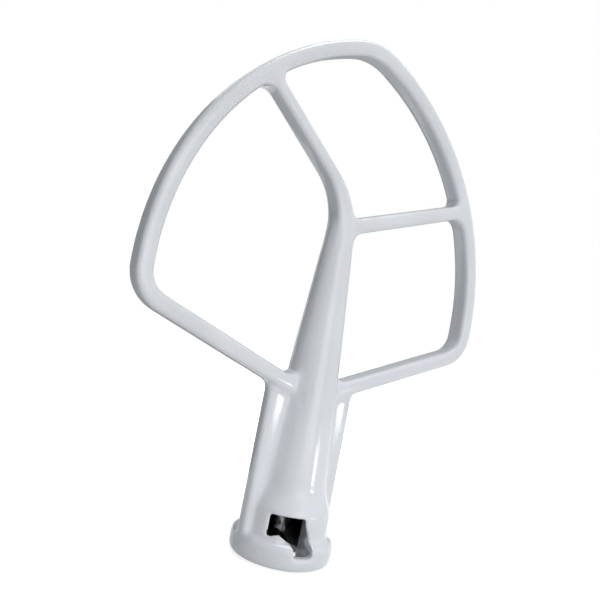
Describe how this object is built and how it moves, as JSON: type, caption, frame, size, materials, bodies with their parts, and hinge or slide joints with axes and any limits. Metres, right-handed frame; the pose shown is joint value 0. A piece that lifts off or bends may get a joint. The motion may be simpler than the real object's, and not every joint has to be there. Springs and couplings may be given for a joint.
{
  "type": "stand mixer flat beater",
  "caption": "Cast flat beater: a rounded open frame with a slanted rib and arm on a tapered stem, and a round hub with a shaft socket and a side slot that locks on a pin.",
  "frame": {"origin": "centre of the shaft socket's mouth, on the hub's end face", "axes": "+Z along the shaft axis from the socket's mouth to the tip of the blade, +X along the blade towards the rib, -Y towards the pin slot"},
  "size_m": [0.1416, 0.0354, 0.1807],
  "materials": {
    "coated_casting": "glossy white coat over cast aluminium, bare in the bore"
  },
  "bodies": {
    "root": {"flat_beater": "coated_casting"}
  },
  "joints": []
}
